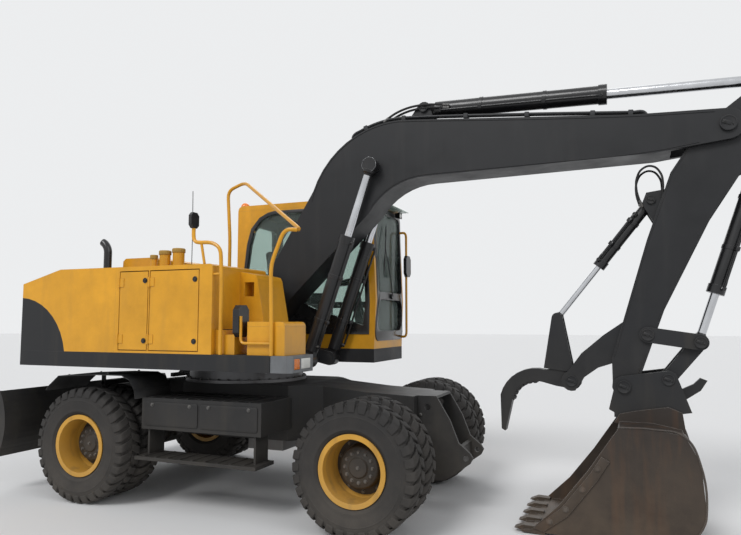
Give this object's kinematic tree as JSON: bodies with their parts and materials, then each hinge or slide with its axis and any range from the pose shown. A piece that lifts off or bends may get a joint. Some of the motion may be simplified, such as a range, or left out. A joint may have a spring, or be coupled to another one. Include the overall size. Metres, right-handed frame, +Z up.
{
  "type": "wheeled excavator",
  "caption": "Wheeled excavator with twin tyres, slewing upper body and cab, one-piece boom, arm, bucket with thumb and a rear dozer blade.",
  "frame": {"origin": "middle of the bounding box, at the ground under the tyres", "axes": "+X forward along the boom, +Y to the machine's left, +Z up"},
  "size_m": [7.2206, 2.505, 3.7766],
  "materials": {
    "tyre": "matt lug rubber",
    "rim_paint": "satin",
    "body_paint": "satin, worn",
    "frame_paint": "satin",
    "boom_paint": "satin",
    "black_paint": "satin",
    "rod_chrome": "polished",
    "glass": "tinted",
    "seat_fabric": "woven",
    "trim_plastic": "grained",
    "machine_steel": "oily",
    "bucket_steel": "worn to bare steel",
    "lamp_grey": "satin"
  },
  "bodies": {
    "undercarriage": {"chassis": "frame_paint", "front_bracket": "frame_paint", "slew_ring": "machine_steel", "front_axle": "frame_paint", "rear_axle": "frame_paint", "driveline": "machine_steel", "side_steps": "frame_paint"},
    "knuckle_left": {"knuckle_left": "frame_paint"},
    "knuckle_right": {"knuckle_right": "frame_paint"},
    "wheels_front_left": {"tyres_front_left": "tyre", "rims_front_left": "rim_paint"},
    "wheels_front_right": {"tyres_front_right": "tyre", "rims_front_right": "rim_paint"},
    "wheels_rear_left": {"tyres_rear_left": "tyre", "rims_rear_left": "rim_paint"},
    "wheels_rear_right": {"tyres_rear_right": "tyre", "rims_rear_right": "rim_paint"},
    "blade": {"blade": "frame_paint"},
    "blade_barrels": {"blade_barrels": "black_paint"},
    "blade_rods": {"blade_rods": "rod_chrome"},
    "upper": {"platform": "frame_paint", "counterweight": "frame_paint", "hood": "body_paint", "engine": "machine_steel", "tank_housing": "body_paint", "tool_box": "body_paint", "front_lamps": "lamp_grey", "exhaust": "black_paint", "handrails": "body_paint", "mirrors": "black_paint", "cab_frame": "body_paint", "cab_roof": "body_paint", "cab_glass": "glass", "seat": "seat_fabric", "console": "trim_plastic"},
    "hood_lid": {"hood_lid": "body_paint"},
    "engine_door": {"engine_door": "body_paint"},
    "pump_door": {"pump_door": "body_paint"},
    "cooler_door": {"cooler_door": "body_paint"},
    "tool_box_lid": {"tool_box_lid": "body_paint"},
    "cab_door": {"cab_door": "body_paint", "cab_door_glass": "glass"},
    "boom": {"boom": "boom_paint"},
    "boom_barrels": {"boom_barrels": "black_paint"},
    "boom_rods": {"boom_rods": "rod_chrome"},
    "arm_barrel": {"arm_barrel": "black_paint"},
    "arm_rod": {"arm_rod": "rod_chrome"},
    "arm": {"arm": "boom_paint"},
    "bucket_barrel": {"bucket_barrel": "black_paint"},
    "bucket_rod": {"bucket_rod": "rod_chrome"},
    "idler_links": {"idler_links": "frame_paint"},
    "push_link": {"push_link": "frame_paint"},
    "bucket": {"coupler": "frame_paint", "bucket": "bucket_steel"},
    "thumb": {"thumb": "boom_paint"},
    "thumb_barrel": {"thumb_barrel": "black_paint"},
    "thumb_rod": {"thumb_rod": "rod_chrome"}
  },
  "joints": [
    {"name": "steer_right", "type": "hinge", "parent": "undercarriage", "child": "knuckle_right", "pos_m": [0.31503, -0.6, 0.527], "axis": [0, 0, 1], "range_deg": [-30, 30]},
    {"name": "steer_left", "type": "hinge", "parent": "undercarriage", "child": "knuckle_left", "pos_m": [0.31503, 0.6, 0.527], "axis": [0, 0, 1], "range_deg": [-30, 30]},
    {"name": "roll_front_left", "type": "hinge", "parent": "knuckle_left", "child": "wheels_front_left", "pos_m": [0.31503, 0.955, 0.527], "axis": [0, 1, 0], "continuous": true},
    {"name": "roll_front_right", "type": "hinge", "parent": "knuckle_right", "child": "wheels_front_right", "pos_m": [0.31503, -0.955, 0.527], "axis": [0, 1, 0], "continuous": true},
    {"name": "roll_rear_left", "type": "hinge", "parent": "undercarriage", "child": "wheels_rear_left", "pos_m": [-2.43497, 0.955, 0.527], "axis": [0, 1, 0], "continuous": true},
    {"name": "roll_rear_right", "type": "hinge", "parent": "undercarriage", "child": "wheels_rear_right", "pos_m": [-2.43497, -0.955, 0.527], "axis": [0, 1, 0], "continuous": true},
    {"name": "blade_lift", "type": "hinge", "parent": "undercarriage", "child": "blade", "pos_m": [-2.73497, 0, 0.42], "axis": [0, 1, 0], "range_deg": [-34, 6]},
    {"name": "blade_barrels_tilt", "type": "hinge", "parent": "undercarriage", "child": "blade_barrels", "pos_m": [-2.92497, 0, 0.93], "axis": [0, 1, 0], "range_deg": [-20.25, 3.98]},
    {"name": "blade_rods_slide", "type": "slide", "parent": "blade_barrels", "child": "blade_rods", "axis": [-0.7159, 0, -0.6982], "range_m": [-0.0509, 0.2746]},
    {"name": "swing", "type": "hinge", "parent": "undercarriage", "child": "upper", "pos_m": [-1.41497, 0, 1.08], "axis": [0, 0, 1], "continuous": true},
    {"name": "engine_door_swing", "type": "hinge", "parent": "upper", "child": "engine_door", "pos_m": [-2.00997, -1.2338, 1.7], "axis": [0, 0, -1], "range_deg": [0, 100]},
    {"name": "pump_door_swing", "type": "hinge", "parent": "upper", "child": "pump_door", "pos_m": [-1.66497, -1.2338, 1.7], "axis": [0, 0, -1], "range_deg": [0, 100]},
    {"name": "cooler_door_swing", "type": "hinge", "parent": "upper", "child": "cooler_door", "pos_m": [-2.47497, 1.2338, 1.7], "axis": [0, 0, 1], "range_deg": [0, 100]},
    {"name": "cab_door_swing", "type": "hinge", "parent": "upper", "child": "cab_door", "pos_m": [-1.38497, 1.2308, 1.7], "axis": [0, 0, 1], "range_deg": [0, 160]},
    {"name": "hood_lid_lift", "type": "hinge", "parent": "upper", "child": "hood_lid", "pos_m": [-2.07497, 0, 2.1788], "axis": [0, 1, 0], "range_deg": [0, 60]},
    {"name": "tool_box_lid_lift", "type": "hinge", "parent": "upper", "child": "tool_box_lid", "pos_m": [-0.66197, -1.18, 1.672], "axis": [0, -1, 0], "range_deg": [0, 75]},
    {"name": "boom_lift", "type": "hinge", "parent": "upper", "child": "boom", "pos_m": [-1.21497, 0, 1.68], "axis": [0, -1, 0], "range_deg": [-48, 38]},
    {"name": "boom_barrels_tilt", "type": "hinge", "parent": "upper", "child": "boom_barrels", "pos_m": [-0.56497, 0, 1.295], "axis": [0, -1, 0], "range_deg": [-46.61, 37.01]},
    {"name": "boom_rods_slide", "type": "slide", "parent": "boom_barrels", "child": "boom_rods", "axis": [0.3307, 0, 0.9437], "range_m": [-0.5887, 0.4666]},
    {"name": "arm_swing", "type": "hinge", "parent": "boom", "child": "arm", "pos_m": [3.09503, 0, 3.23], "axis": [0, 1, 0], "range_deg": [-108, 4]},
    {"name": "arm_barrel_tilt", "type": "hinge", "parent": "boom", "child": "arm_barrel", "pos_m": [0.56503, 0, 3.7], "axis": [0, 1, 0], "range_deg": [-1.45, 0.54]},
    {"name": "arm_rod_slide", "type": "slide", "parent": "arm_barrel", "child": "arm_rod", "axis": [0.9994, 0, -0.0335], "range_m": [-0.9388, 0.0377]},
    {"name": "bucket_curl", "type": "hinge", "parent": "arm", "child": "bucket", "pos_m": [2.26532, 0, 1.14503], "axis": [0, 1, 0], "range_deg": [-22, 85]},
    {"name": "bucket_barrel_tilt", "type": "hinge", "parent": "arm", "child": "bucket_barrel", "pos_m": [3.35443, 0, 3.02991], "axis": [0, 1, 0], "range_deg": [-1.69, 5.08]},
    {"name": "bucket_rod_slide", "type": "slide", "parent": "bucket_barrel", "child": "bucket_rod", "axis": [-0.3225, 0, -0.9466], "range_m": [-0.1054, 0.3985]},
    {"name": "idler_swing", "type": "hinge", "parent": "arm", "child": "idler_links", "pos_m": [2.45584, 0, 1.56429], "axis": [0, 1, 0], "range_deg": [-18.1, 68.5]},
    {"name": "push_link_swing", "type": "hinge", "parent": "idler_links", "child": "push_link", "pos_m": [2.83588, 0, 1.50777], "axis": [0, 1, 0], "range_deg": [-84.65, 22.28]},
    {"name": "thumb_close", "type": "hinge", "parent": "arm", "child": "thumb", "pos_m": [1.85377, 0, 1.17104], "axis": [0, -1, 0], "range_deg": [-48, 5]},
    {"name": "thumb_barrel_tilt", "type": "hinge", "parent": "arm", "child": "thumb_barrel", "pos_m": [2.51998, 0, 2.67747], "axis": [0, -1, 0], "range_deg": [-2.52, 19.92]},
    {"name": "thumb_rod_slide", "type": "slide", "parent": "thumb_barrel", "child": "thumb_rod", "axis": [-0.6224, 0, -0.7827], "range_m": [-0.1658, 0.02]}
  ],
  "couplings": [
    {"joint": "steer_left", "follows": "steer_right", "ratio": 1},
    {"joint": "blade_barrels_tilt", "follows": "blade_lift", "ratio": 0.58089},
    {"joint": "blade_rods_slide", "follows": "blade_lift", "m_per_rad": -0.45776},
    {"joint": "boom_barrels_tilt", "follows": "boom_lift", "ratio": 0.96071},
    {"joint": "boom_rods_slide", "follows": "boom_lift", "m_per_rad": 0.69908},
    {"joint": "arm_barrel_tilt", "follows": "arm_swing", "ratio": 0.0088},
    {"joint": "arm_rod_slide", "follows": "arm_swing", "m_per_rad": 0.49647},
    {"joint": "bucket_barrel_tilt", "follows": "bucket_curl", "ratio": 0.05394},
    {"joint": "bucket_rod_slide", "follows": "bucket_curl", "m_per_rad": 0.26657},
    {"joint": "idler_swing", "follows": "bucket_curl", "ratio": 0.8},
    {"joint": "push_link_swing", "follows": "bucket_curl", "ratio": -0.99},
    {"joint": "thumb_barrel_tilt", "follows": "thumb_close", "ratio": -0.40449},
    {"joint": "thumb_rod_slide", "follows": "thumb_close", "m_per_rad": 0.19438}
  ]
}
